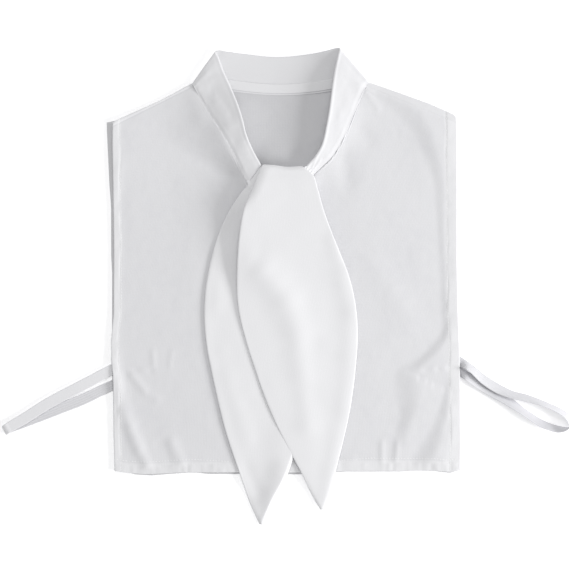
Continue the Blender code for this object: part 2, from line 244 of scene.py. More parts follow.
def clothShell(name, middle, wall, share, relief, layers):
    # the middle surface moved out by half the wall on both sides, and by the relief on top
    normal = gridNormals(middle)
    half = np.broadcast_to(wall / 2.0 * share, middle.shape[:2])[..., None]
    raised = half + np.broadcast_to(relief, middle.shape[:2])[..., None]
    top = middle + normal * raised
    bottom = middle - normal * half
    return closedSkin(name, top, bottom, gridLengths(middle), layers), top


def linear(hexColour):
    # sRGB hex to linear light
    values = [int(hexColour[i:i + 2], 16) / 255.0 for i in (0, 2, 4)]
    return [v / 12.92 if v <= 0.04045 else ((v + 0.055) / 1.055) ** 2.4 for v in values] + [1.0]


def addNode(tree, kind, settings, links):
    # settings name the node's own fields or its sockets; links give a source for a socket
    node = tree.nodes.new(kind)
    for key, value in settings.items():
        if isinstance(key, str) and hasattr(node, key):
            setattr(node, key, value)
    for key, value in settings.items():
        if not (isinstance(key, str) and hasattr(node, key)):
            node.inputs[key].default_value = value
    for key, source in links.items():
        tree.links.new(source, node.inputs[key])
    return node


weave = {
    "thread": 1.6,          # mm between threads, drawn coarser than the real 0.25 to show at all
    "pebble": 2.2,          # mm, the crepe's grain, drawn coarser than the real 0.8
    "slub": 11.0,           # mm, soft unevenness of the yarn
    "mottle": 60.0,         # mm, broad changes of tone
}


def wovenCloth(name, doubledAndPaintedLitTone, singleAndPaintedShadeTone, shadeTone, roughness, depth, stretch=1.0):
    # Woven polyester: matt with a soft bloom at grazing angles, a pebbled grain over plain
    # weave, paler where the cloth is doubled and less light goes through it. The shade and
    # single tones are mixed by slub + mottle, and the doubled tone comes in by layers. On the
    # tape, layers instead sets painted light and shade: the doubled tone is its lit tone and
    # the others are its tone in painted shade.
    material = bpy.data.materials.new(name)
    material.use_nodes = True
    tree = material.node_tree
    tree.nodes.clear()
    flat = addNode(tree, "ShaderNodeUVMap", {"uv_map": "cloth"}, {})
    cloth = addNode(tree, "ShaderNodeMapping", {"Scale": (1.0, stretch, 1.0)}, {
        "Vector": flat.outputs["UV"]}).outputs["Vector"]
    waveScale = 2.0 * math.pi / 20.0 / (weave["thread"] * mm)  # a wave texture repeats each 2 pi / 20
    warp, weft = (addNode(tree, "ShaderNodeTexWave", {
        "bands_direction": way, "Scale": waveScale, "Distortion": 2.5, "Detail": 2.0}, {
        "Vector": cloth}) for way in "XY")
    pebble, slub, mottle = (addNode(tree, "ShaderNodeTexNoise", {
        "Scale": 1.0 / (weave[kind] * mm), "Detail": detail, "Roughness": rough}, {
        "Vector": cloth}) for kind, detail, rough in (
            ("pebble", 3.0, 0.6), ("slub", 3.0, 0.5), ("mottle", 2.0, 0.5)))
    crossed = addNode(tree, "ShaderNodeMath", {"operation": "ADD"}, {
        0: warp.outputs["Fac"], 1: weft.outputs["Fac"]})
    threads = addNode(tree, "ShaderNodeMath", {"operation": "MULTIPLY", 1: 0.15}, {0: crossed.outputs[0]})
    grain = addNode(tree, "ShaderNodeMath", {"operation": "ADD"}, {
        0: threads.outputs[0], 1: pebble.outputs["Fac"]})
    patches = addNode(tree, "ShaderNodeMath", {"operation": "ADD", "use_clamp": True}, {
        0: slub.outputs["Fac"], 1: mottle.outputs["Fac"]})
    patches = addNode(tree, "ShaderNodeMapRange", {"From Min": 0.7, "From Max": 1.3}, {
        "Value": patches.outputs[0]})
    single = addNode(tree, "ShaderNodeMix", {"data_type": "RGBA"}, {"Factor": patches.outputs["Result"]})
    single.inputs["A"].default_value = linear(shadeTone)
    single.inputs["B"].default_value = linear(singleAndPaintedShadeTone)
    layers = addNode(tree, "ShaderNodeAttribute", {"attribute_name": "layers"}, {})
    tone = addNode(tree, "ShaderNodeMix", {"data_type": "RGBA"}, {
        "Factor": layers.outputs["Fac"], "A": single.outputs["Result"]})
    tone.inputs["B"].default_value = linear(doubledAndPaintedLitTone)
    rough = addNode(tree, "ShaderNodeMapRange", {
        "To Min": roughness - 0.08, "To Max": roughness + 0.08}, {"Value": pebble.outputs["Fac"]})
    bump = addNode(tree, "ShaderNodeBump", {"Strength": 0.5, "Distance": depth * mm}, {
        "Height": grain.outputs[0]})
    shader = addNode(tree, "ShaderNodeBsdfPrincipled", {
        "Metallic": 0.0, "IOR": 1.5, "Specular IOR Level": 0.25, "Sheen Weight": 0.12,
        "Sheen Roughness": 0.5}, {
        "Base Color": tone.outputs["Result"], "Roughness": rough.outputs["Result"],
        "Normal": bump.outputs["Normal"]})
    addNode(tree, "ShaderNodeOutputMaterial", {}, {"Surface": shader.outputs["BSDF"]})
    return material


frontCloth = wovenCloth("wovenCrepeFront", "E9E9EB", "E6E6E8", "E1E1E4", 0.82, 0.20)
# the back's tones are set darker than the front's: painted shade where the back shows in the neck opening
# and past the front's edges
backClothPaintedShade = wovenCloth("wovenCrepeBackPaintedShade", "D7D7D9", "D3D3D5", "CDCDD0", 0.85, 0.20)
collarCloth = wovenCloth("fusedCrepeCollar", "E6E6E8", "E0E0E2", "DADADD", 0.80, 0.16)
tieCloth = wovenCloth("doubledCrepeTie", "EEEEF0", "EBEBED", "E6E6E9", 0.80, 0.16)
# on the tape the first tone is its painted lit tone and the other two are its tone in painted shade
tapeCloth = wovenCloth("wovenElasticTapeWithPaintedShade", "F4F4F6", "DEDEE1", "D6D6DA", 0.75, 0.30, 2.0)
seamThread = wovenCloth("twistedSewingThread", "F2F2F2", "ECECEC", "E4E4E6", 0.55, 0.05)
print("cloth materials")


def finishPiece(item, material, slot, *nodes):
    # its material, its body and the solids that it stands for; slot is not used
    item.data.materials.append(material)
    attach(item, "root")
    if nodes:
        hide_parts(*nodes)
    return item


table = {"size": 6.0, "height": -0.0002, "tone": "F2F2F3", "glow": 0.35}    # size and height in metres


def makeTable():
    # a square of plain pale card, half its size to each side, that glows a little like a light
    # table: it gives the eye an even white ground with only faint shadows on it
    size = table["size"] / 2.0
    mesh = bpy.data.meshes.new("tableTop")
    mesh.from_pydata([(-size, -size, 0.0), (size, -size, 0.0), (size, size, 0.0), (-size, size, 0.0)],
                     [], [(0, 1, 2, 3)])
    item = placeObject("tableTop", mesh)
    item.location.z = table["height"]
    material = bpy.data.materials.new("paleCard")
    material.use_nodes = True
    shader = material.node_tree.nodes["Principled BSDF"]
    shader.inputs["Base Color"].default_value = linear(table["tone"])
    shader.inputs["Roughness"].default_value = 0.9
    shader.inputs["Specular IOR Level"].default_value = 0.0
    shader.inputs["Emission Color"].default_value = (1.0, 1.0, 1.0, 1.0)
    shader.inputs["Emission Strength"].default_value = table["glow"]
    mesh.materials.append(material)
    return item


bib = {
    "leftSide": [  # y, x
        (-184, -172.4), (-145, -173.3), (-115, -173.4), (-90, -173.9), (-76, -175.4),
        (-55, -175.8), (-42, -174.7), (-28, -173.3), (36, -173), (86, -173.6),
        (146, -174.6), (163.3, -174.3)],
    "rightSide": [  # y, x
        (-183, 173.2), (-150, 173.5), (-103, 173.1), (-60, 172.2), (-20, 170.8),
        (26, 170), (136, 169.9), (168, 169.4)],
    "hem": [  # x, y
        (-172, -185), (-160, -187), (-143, -188.2), (-129, -187.6), (-105, -186.3),
        (-57, -186.4), (12, -186.6), (53, -185), (107, -184.9), (143, -184.5),
        (159, -185.8), (172, -184)],
    "backHem": [  # x, y; the back shows past the front in places
        (-172, -185), (-160, -188.4), (-143, -189.5), (-128, -188.2), (-105, -186.6),
        (-95, -186.8), (-87, -188), (12, -188.3), (53, -185.6), (107, -185.5),
        (127, -184.8), (143, -185), (151, -186), (159, -186.8), (172, -183.6)],
    "leftShoulder": [
        (-174, 163.3), (-170.3, 165.8), (-146.5, 176.6), (-130.5, 183.6), (-114.5, 191.8),
        (-97, 201.6), (-94, 203)],
    "rightShoulder": [
        (80.6, 204.2), (109.5, 194), (141.4, 182.5), (166.9, 171.4), (169.4, 168)],
    "frontNeck": [
        (-94, 203), (-86, 188), (-79, 175), (-66, 153.5), (-54, 134),
        (-45, 116), (-39, 102), (-24, 93), (-4, 90), (14, 98),
        (28, 112.5), (44, 127), (55, 145.5), (64, 166.5), (71, 186), (80.6, 204.2)],
    "backNeck": [(-94, 203), (-54, 195.5), (-6, 191.7), (41, 195.5), (80.6, 204.2)],
    "backLeftSide": [  # y, x; the back shows past the front here too
        (-183, -172.2), (-150, -173.4), (-110, -173.8), (-74, -175.8), (-43, -175),
        (13, -174.9), (30, -175.8), (77, -176), (86, -176.4), (101, -177.6),
        (125, -178.7), (157, -180.2)],
    "rightBowl": (-8, 44, 4.5),     # the back rises to both sides in the neck opening: from
    "leftBowl": (-5, 42, 2.2),  # this x, over this far, by this
    "bowlLean": (0.45, 136),    # the right one starts that much further right each mm above y
    "bowlBottom": (70, 40),     # both grow in from this y over this far
    "bowlTop": 16.0,        # and end over this far below the back's top edge
    "leftBowlEnd": (-64, 16),   # the left one is down again at this x, over this far
    "rightBowlEnd": (10, 12),   # the right one this far past the line, over this far
    "openingRight": [  # y, x; the line, under the collar
        (110, 15), (128, 26.5), (140, 34.2), (160, 39.4), (181, 43), (199, 45.3),
        (218, 48.5), (237, 51.6)],
    "knotRise": (-8, 110, 24, 4.5),     # the back also rises under the knot: x, y, half width, by
    "wall": 0.7,
    "leftHem": 8.5,         # turned in twice at the sides and the bottom
    "rightHem": 12.0,
    "bottomHem": 10.5,
    "leftSeam": 3.0,        # the shoulder seam lies this far below the edge
    "rightSeam": 5.0,
    "shoulderSlope": 0.92,  # drop in y times this is the distance square to the shoulder
    "neckAllowance": 1.8,   # the neck edge goes this far into the collar
    "seamStep": (0.15, 0.8),    # the shoulder seam's turned cloth rises by this over this far
    "seamGroove": (0.25, 0.7),  # depth and half width of the seam itself
    "ripples": [(0.05, 5, 11), (0.12, 17, 12)],
    "fineStep": 0.8,
    "columnStep": 1.6,
    "rowStep": 3.0,
    "backCorner": [(-180.6, 163.6), (-174, 165)],   # x, y, where it shows past the front
    "backInset": 0.5,       # the back's right edge lies this far inside the front's
    "backSideHem": 9.5,
    "backBottomHem": 10.5,
    "backHemStep": 0.35,
    "backEdge": 0.05,       # height of its rolled edges off the table
    "backRipples": [(0.05, 6, 21), (0.12, 24, 22)],
    "backFineStep": 1.2,
    "backStep": 4.0,
}
shoulderLine = [
    bib["leftShoulder"][0], bib["leftShoulder"][-1], bib["rightShoulder"][0], bib["rightShoulder"][-1]]

lay = {
    "middle": 1.7,          # height of the middle of the front where it lies on the back
    "air": 1.5,             # layer of air under it, away from its edges
    "airFade": 50.0,
    "airLeft": (0.25, -150, 120),   # share of it at the left, more from this x over this far
    "airShoulder": 0.6,     # share of it at the shoulders
    "sideChange": (-25, 50),    # from x, over this far, the left rise gives way to the right
    "neckRise": [  # y, rise towards the collar and its reach on the left, both on the right
        (80, 2, 26, 3, 26), (92, 6, 28, 3, 26), (102, 8.6, 24, 2.4, 26),
        (110, 9.6, 23, 2, 26), (117, 10.4, 29, 2, 26), (126, 10.8, 39, 2, 26),
        (134, 10.8, 49, 2, 26), (144, 10.2, 55, 2, 26), (154, 9, 56, 2, 26),
        (172, 5.2, 54, 1.8, 26), (189, 2.2, 50, 1.2, 26), (203, 0.3, 48, 0.5, 26)],
    "neckPower": 2.3,       # how much steeper the rise is close to the collar
    "tuck": (0.9, 2.5),     # at the right its neck edge turns up by this over this far,
    "tuckFrom": (22, 12),   # from this x over this far
    "ceiling": 10.6,        # the cloth is pressed down at this rise under the knot
    "ceilingBlend": 2.0,
    "floorBlend": 0.2,
    "hemClear": 5.0,        # past the hem a tie end stays up for this far
    "hemDrop": 18.0,        # and comes down to the table over this far
    "troughFade": 16.0,
    "ridgeFade": 7.0,
    "creaseFade": 9.0,
    "leftCurl": (12, 0.45),     # the hems rise towards their edges over this far, by
    "rightCurl": (12, 0.5),
    "leftSwell": [  # broad rises towards the side: y, run along it, reach, rise
        (140, 50, 62, 1.3), (-92, 22, 14, 1.6)],
    "rightSwell": [(155, 45, 64, 1.7)],
    "creases": [  # each row x, y, run, size, back
        [(158, -59, 8, 0, 40), (158, -44, 9, 0.72, 40), (156, 6, 8, 0.56, 40),
         (153, 66, 9, 0.8, 40), (151, 106, 13, 1.12, 40),
         (142, 136, 18, 1.76, 40), (134, 156, 22, 2.24, 40),
         (123, 171, 22, 2.4, 40), (103, 183, 14, 1.44, 40),
         (88, 191, 12, 0.48, 40)],
        [(109, -184, 15, 0, 25), (109, -165, 15, 0.72, 25),
         (113, -150, 15, 0.96, 25), (118, -134, 16, 1.68, 40),
         (121, -114, 26, 2.32, 60), (119, -99, 30, 2.48, 60),
         (118, -89, 24, 1.92, 60), (124, -81, 14, 1.44, 60),
         (132, -76, 11, 1.84, 60), (139, -71, 11, 2.08, 60),
         (146, -64, 12, 2, 60), (152, -57, 11, 1.68, 50),
         (158, -46, 9, 0.96, 40), (163, -30, 8, 0, 30)],
        [(127, -183, 18, 0, 40), (134, -172, 20, 1.92, 40),
         (141, -164, 22, 2.88, 40), (146, -154, 19, 2.4, 40),
         (153, -134, 13, 1.44, 40), (158.5, -114, 10, 1.04, 40),
         (161, -100, 8, 0.48, 40), (162, -86, 8, 0, 40)]],
    "troughs": [  # x0, y0, x1, y1, half width, depth
        (56, 128, 60, 104, 9, 0.85),
        (73, 158, 82, 145, 8, 0.51),
        (-127, -159, -119, -177, 5, 0.59)],
    "ridges": [  # x0, y0, x1, y1, half width, height
        (-14, 98, -26, 78, 20, 8.5),
        (-26, 78, -36, 62, 14, 4.2),
        (-90, 188, -86, 168, 9, 0.68),
        (79, 194, 91, 178, 3, 0.51),
        (66, 178, 52, 140, 7, 0.42),
        (85, 24, 105, -4, 13, 0.68),
        (105, -4, 121, -36, 13, 0.68),
        (95, -157, 95, -175, 3, 0.59),
        (110, -159, 109, -174, 3, 0.59),
        (-169, -99, -163, -124, 7, 0.85),
        (-163, -124, -157, -141, 7, 1.36),
        (-157, -141, -148, -164, 6.5, 1.61),
        (-148, -164, -140, -178, 6, 1.36),
        (-115, -157, -106, -176, 6, 0.94),
        (-134, -66, -133, -78, 3, 0.42),
        (-115, -66, -117, -80, 3, 0.34),
        (-155, -89, -142, -105, 4, 0.85),
        (-142, -105, -131, -113, 5, 0.51),
        (-90, 60, -92, 10, 16, 0.42)],
}


def neckDistance(x, y):
    # least distance to closely set points of the front neckline
    line = throughRows(bib["frontNeck"], 5)
    away = np.full(x.shape, 1e6)
    for pointX, pointY in line:
        away = np.minimum(away, np.hypot(x - pointX, y - pointY))
    return away


def frontEdge(x, y):
    # distance in from the nearest side, hem or shoulder
    edge = np.minimum(x - tableAt(bib["leftSide"], y), tableAt(bib["rightSide"], y) - x)
    edge = np.minimum(edge, y - tableAt(bib["hem"], x))
    return np.minimum(edge, tableAt(shoulderLine, x) - y)


def frontHeight(x, y):
    # middle height + air growing in from hem, shoulders and left side + rise * (1 - t)^power,
    # t = neck distance / reach, + the tuck at the right of the neck + curled side hems + swells
    # at the sides + ridges + creases - troughs, kept under the ceiling by softMin and over the
    # middle height by softMax
    edge = frontEdge(x, y)
    onRight = fadeIn(x, *lay["sideChange"])
    rises = np.array(lay["neckRise"])
    leftRise, leftReach, rightRise, rightReach = (
        np.interp(y, rises[:, 0], rises[:, k]) for k in (1, 2, 3, 4))
    rise = leftRise + (rightRise - leftRise) * onRight
    reach = leftReach + (rightReach - leftReach) * onRight
    fromNeck = neckDistance(x, y)
    rise = rise * (1.0 - np.minimum(fromNeck / reach, 1.0)) ** lay["neckPower"]
    tuck, tuckReach = lay["tuck"]
    rise = rise + tuck * fadeIn(x, *lay["tuckFrom"]) * smoothStep(1.0 - fromNeck / tuckReach)
    atLeft, start, run = lay["airLeft"]
    air = atLeft + (1.0 - atLeft) * fadeIn(x, start, run)
    air = air * smoothStep((y - tableAt(bib["hem"], x)) / lay["airFade"])
    fromShoulder = smoothStep((tableAt(shoulderLine, x) - y) / lay["airFade"])
    air = air * (lay["airShoulder"] + (1.0 - lay["airShoulder"]) * fromShoulder)
    lift = lay["air"] * air + rise
    fromLeft = x - tableAt(bib["leftSide"], y)
    fromRight = tableAt(bib["rightSide"], y) - x
    for away, (reach, curl) in ((fromLeft, lay["leftCurl"]), (fromRight, lay["rightCurl"])):
        lift = lift + curl * smoothStep((reach - away) / reach)
    for away, swells in ((fromLeft, lay["leftSwell"]), (fromRight, lay["rightSwell"])):
        for swellY, swellRun, reach, swell in swells:
            lift = lift + swell * bell(y - swellY, swellRun) * smoothStep((reach - away) / reach)
    lift = lift + foldSize(x, y, lay["ridges"]) * smoothStep(edge / lay["ridgeFade"])
    lift = lift - foldSize(x, y, lay["troughs"]) * smoothStep(edge / lay["troughFade"])
    for crease in lay["creases"]:
        lift = lift + creaseSize(x, y, crease) * (0.8 + 0.2 * smoothStep(edge / lay["creaseFade"]))
    lift = softMin(lift, lay["ceiling"], lay["ceilingBlend"])
    return lay["middle"] + softMax(lift, 0.0, lay["floorBlend"])


def tieGround(x, y):
    # top of what the ties lie on: the front, then the table past the hem
    pastHem = smoothStep((tableAt(bib["hem"], x) - lay["hemClear"] - y) / lay["hemDrop"])
    return (frontHeight(x, y) + bib["wall"] / 2.0) * (1.0 - pastHem)


darts = {
    "left": (-172.5, -82.0, -122.0, -85.5),     # x, y at the side, x, y at the point
    "right": (171.5, -81.0, 112.0, -86.5),
    "groove": 0.5,
    "grooveWidth": 1.0,
    "turned": 0.5,          # rise of the turned-in cloth above the seam
    "turnedWidth": 3.5,
}


def dartRelief(x, y, line):
    # a groove of depth * exp(-(distance / width)^2) with a low step above it where the cloth
    # is turned in, both fading towards the dart's point
    x0, y0, x1, y1 = line
    length = math.hypot(x1 - x0, y1 - y0)
    share = ((x - x0) * (x1 - x0) + (y - y0) * (y1 - y0)) / length ** 2
    above = y - y0 - (y1 - y0) * share
    fade = smoothStep(share * 12.0 + 1.0) * smoothStep((1.0 - share) * 3.0)
    groove = -darts["groove"] * bell(above, darts["grooveWidth"])
    turned = darts["turned"] * smoothStep(above / 1.2)
    turned = turned * smoothStep((darts["turnedWidth"] + 1.5 - above) / 2.0)
    return (groove + turned) * fade


hems = {
    "step": 0.25,           # rise of the turned cloth
    "stepRun": 1.4,
    "dip": 0.40,            # the stitches pull it down
    "fromStitch": 1.3,      # the stitch line lies this far inside the fold
    "pucker": 0.30,         # height of the small puckers the stitches draw up
    "puckerSize": 6.0,      # mm from one to the next
    "puckerReach": 6.0,
    "gather": 0.22,         # height of the fine ribs across the turned cloth
    "gatherSize": 3.2,
    "wander": 0.9,          # the turned edge wanders by this much
    "wanderSize": 22.0,
}


def hemRelief(distance, width, along, seed):
    # a step where the cloth is turned in, a dip along the stitches, uneven puckers across
    # them that fade as exp(-(distance from the stitches / reach)^2) and fine ribs on the turn
    stitches = distance - width + hems["fromStitch"]
    turned = smoothStep((width + 0.4 - distance) / hems["stepRun"])
    dip = hems["dip"] * bell(stitches, 0.9)
    pucker = softNoise(along, distance * 0.3, hems["puckerSize"], seed)
    pucker = pucker + 0.7 * softNoise(along, distance * 0.2, hems["puckerSize"] * 2.3, seed + 1)
    gather = hems["gather"] * softNoise(along, distance * 0.15, hems["gatherSize"], seed + 2) * turned
    pucker = hems["pucker"] * pucker * bell(stitches, hems["puckerReach"])
    return hems["step"] * turned - dip + gather + pucker


def hemWidth(width, along, seed):
    # width + wander * noise along the hem
    return width + hems["wander"] * softNoise(along, np.zeros_like(along), hems["wanderSize"], seed)


def makeFrontPanel():
    # a grid between the hem and the shoulders and between the side lines, on frontHeight; on its
    # upper side the higher of side and bottom hem relief + darts + shoulder seams + ripples
    leftX, neckLeftX = bib["leftShoulder"][0][0], bib["leftShoulder"][-1][0]
    neckRightX, rightX = bib["rightShoulder"][0][0], bib["rightShoulder"][-1][0]
    topLine = bib["leftShoulder"][:-1] + bib["frontNeck"] + bib["rightShoulder"][1:]
    columnX = leftX + edgePlaces(rightX - leftX, bib["fineStep"], bib["columnStep"], 15.0)
    for corner in (neckLeftX, neckRightX):
        columnX[np.argmin(abs(columnX - corner))] = corner
    shareX = (columnX - leftX) / (rightX - leftX)
    low = tableAt(bib["hem"], columnX)
    inNeck = (columnX > neckLeftX + 1.0) & (columnX < neckRightX - 1.0)
    high = tableAt(topLine, columnX) + np.where(inNeck, bib["neckAllowance"], 0.0)
    height = high.max() - low.min()
    shareY = edgePlaces(height, bib["fineStep"], bib["rowStep"], 13.0)[:, None] / height
    y = low + (high - low) * shareY
    x = tableAt(bib["leftSide"], y) * (1.0 - shareX) + tableAt(bib["rightSide"], y) * shareX
    fromLeft = x - tableAt(bib["leftSide"], y)
    fromRight = tableAt(bib["rightSide"], y) - x
    fromHem = y - tableAt(bib["hem"], x)
    fromShoulder = (tableAt(shoulderLine, x) - y) * bib["shoulderSlope"]
    leftWidth = hemWidth(bib["leftHem"], y, 13)
    rightWidth = hemWidth(bib["rightHem"], y, 14)
    sides = hemRelief(fromLeft, leftWidth, y, 3) + hemRelief(fromRight, rightWidth, y, 5)
    relief = np.maximum(sides, hemRelief(fromHem, bib["bottomHem"], x, 7))
    relief = relief + dartRelief(x, y, darts["left"]) + dartRelief(x, y, darts["right"])
    step, stepRun = bib["seamStep"]
    groove, grooveWidth = bib["seamGroove"]
    for seam, onSide in ((bib["leftSeam"], x < neckLeftX), (bib["rightSeam"], x > neckRightX)):
        turned = step * smoothStep((seam - fromShoulder) / stepRun)
        turned = turned - groove * bell(fromShoulder - seam, grooveWidth)
        relief = relief + np.where(onSide, turned, 0.0)
    relief = relief + ripples(x, y, bib["ripples"])
    edge = np.minimum(np.minimum(fromLeft, fromRight), fromHem)
    edge = np.minimum(edge, high - y)
    share = rolledEdge(np.maximum(edge, 0.0), 0.6)
    layers = np.maximum(smoothStep((leftWidth + 0.5 - fromLeft) / 2.0),
                        smoothStep((rightWidth + 0.5 - fromRight) / 2.0))
    layers = np.maximum(layers, smoothStep((bib["bottomHem"] + 0.5 - fromHem) / 1.5))
    seamWidth = np.where(x < 0.0, bib["leftSeam"], bib["rightSeam"])
    layers = np.maximum(layers, 0.5 * smoothStep(seamWidth + 0.5 - fromShoulder))
    middle = np.dstack([x, y, frontHeight(x, y)])
    item, top = clothShell("frontPanel", middle, bib["wall"], share, relief * share, layers)
    finishPiece(item, frontCloth, "front_cloth", "front_panel")
    return item, top, {"left": fromLeft, "right": fromRight, "hem": fromHem, "shoulder": fromShoulder}


def makeBackPanel():
    # flat on the table from its hem to the shoulders and the back of the neck, hems raised on
    # the upper side; in the neck opening it rises by rise * t^1.5 on the right and rise * t^2 on
    # the left, t the share of the way, and by rise * exp(-(distance / half width)^2) under the
    # knot where that is higher
    leftX, rightX = bib["backCorner"][0][0], bib["rightShoulder"][-1][0] - bib["backInset"]
    topLine = bib["backCorner"] + bib["leftShoulder"][1:-1]
    topLine = topLine + bib["backNeck"] + bib["rightShoulder"][1:]
    columnX = leftX + edgePlaces(rightX - leftX, bib["backFineStep"], bib["backStep"], 13.0)
    shareX = (columnX - leftX) / (rightX - leftX)
    low = tableAt(bib["backHem"], columnX)
    high = tableAt(topLine, columnX)
    height = high.max() - low.min()
    shareY = edgePlaces(height, bib["backFineStep"], bib["backStep"], 12.0)[:, None] / height
    y = low + (high - low) * shareY
    rightEdge = tableAt(bib["rightSide"], y) - bib["backInset"]
    x = tableAt(bib["backLeftSide"], y) * (1.0 - shareX) + rightEdge * shareX
    fromLeft = x - tableAt(bib["backLeftSide"], y)
    fromRight = rightEdge - x
    edge = np.maximum(np.minimum(np.minimum(fromLeft, fromRight), np.minimum(y - low, high - y)), 0.0)
    share = rolledEdge(edge, 0.6)
    turned = smoothStep(bib["backSideHem"] - np.minimum(fromLeft, fromRight))
    turned = np.maximum(turned, smoothStep(bib["backBottomHem"] - (y - low)))
    lean, leanY = bib["bowlLean"]
    start, run, rise = bib["rightBowl"]
    bowl = np.clip((x - lean * (y - leanY) - start) / run, 0.0, 1.0) ** 1.5 * rise
    past, run = bib["rightBowlEnd"]
    bowl = bowl * smoothStep((tableAt(bib["openingRight"], y) + past - x) / run)
    start, run, rise = bib["leftBowl"]
    left = np.clip((start - x) / run, 0.0, 1.0) ** 2 * rise
    bowl = bowl + left * fadeIn(x, *bib["leftBowlEnd"])
    bowl = bowl * fadeIn(y, *bib["bowlBottom"]) * smoothStep((high - y) / bib["bowlTop"])
    knotX, knotY, halfWidth, rise = bib["knotRise"]
    bowl = np.maximum(bowl, rise * bell(np.hypot(x - knotX, y - knotY), halfWidth))
    relief = bib["backHemStep"] * turned + ripples(x, y, bib["backRipples"])
    relief = relief * smoothStep(edge / 3.0) + bowl
    top = np.dstack([x, y, bib["backEdge"] + bib["wall"] * share + relief])
    bottom = np.dstack([x, y, bib["backEdge"] * (1.0 - share) + bowl])
    item = closedSkin("backPanel", top, bottom, (x, y), turned)
    return finishPiece(item, backClothPaintedShade, "back_cloth", "back_panel")


stitch = {
    "pitch": 3.0,           # mm from one stitch to the next, drawn a little longer than real
    "length": 2.1,
    "width": 0.55,
    "height": 0.22,
    "sunk": 0.04,           # into the cloth
    "swing": 0.10,          # largest sideways swing, as a share of its length
}


def sewStitches(name, path, up, slot, seed):
    # a small rounded thread of five stations by five points at every pitch along a path,
    # turned along the path, with a slight random swing
    run = runningLength(path)
    places = np.arange(stitch["pitch"], run[-1] - stitch["pitch"], stitch["pitch"])
    centre = np.stack([np.interp(places, run, path[:, k]) for k in range(3)], axis=1)
    ahead = np.stack([np.interp(places + 1.0, run, path[:, k]) for k in range(3)], axis=1)
    normal = np.stack([np.interp(places, run, up[:, k]) for k in range(3)], axis=1)
    forward = ahead - centre
    forward /= np.linalg.norm(forward, axis=1, keepdims=True)
    sideways = np.cross(normal, forward)
    sideways /= np.linalg.norm(sideways, axis=1, keepdims=True)
    swing = np.random.RandomState(seed).uniform(-stitch["swing"], stitch["swing"], (len(places), 1))
    forward = forward + sideways * swing
    station = np.linspace(-1.0, 1.0, 5)
    angle = np.linspace(0.0, math.pi, 5)
    full = np.sqrt(1.0 - 0.92 * station ** 2)[:, None]
    along = np.repeat(station * stitch["length"] / 2.0, 5)
    aside = (full * np.cos(angle) * stitch["width"] / 2.0).ravel()
    lift = (full * np.sin(angle) * stitch["height"]).ravel() - stitch["sunk"]
    points = centre[:, None] + forward[:, None] * along[:, None] + sideways[:, None] * aside[:, None]
    points = points + normal[:, None] * lift[:, None]
    ring = np.arange(5)
    after = (ring + 1) % 5
    start = np.arange(4)[:, None] * 5
    quads = np.stack([start + ring, start + 5 + ring, start + 5 + after, start + after], axis=-1)
    offsets = (np.arange(len(places)) * 25)[:, None, None]
    faces = (quads.reshape(1, -1, 4) + offsets).reshape(-1, 4).tolist()
    for cap in (ring, 24 - ring):
        faces += (cap + offsets).reshape(-1, 5).tolist()
    vertices = points.reshape(-1, 3)
    flat = np.stack([vertices[:, 0] + vertices[:, 1], vertices[:, 2]], axis=1)
    return finishPiece(makeMesh(name, vertices, faces, flat, np.ones(len(vertices))), seamThread, slot)


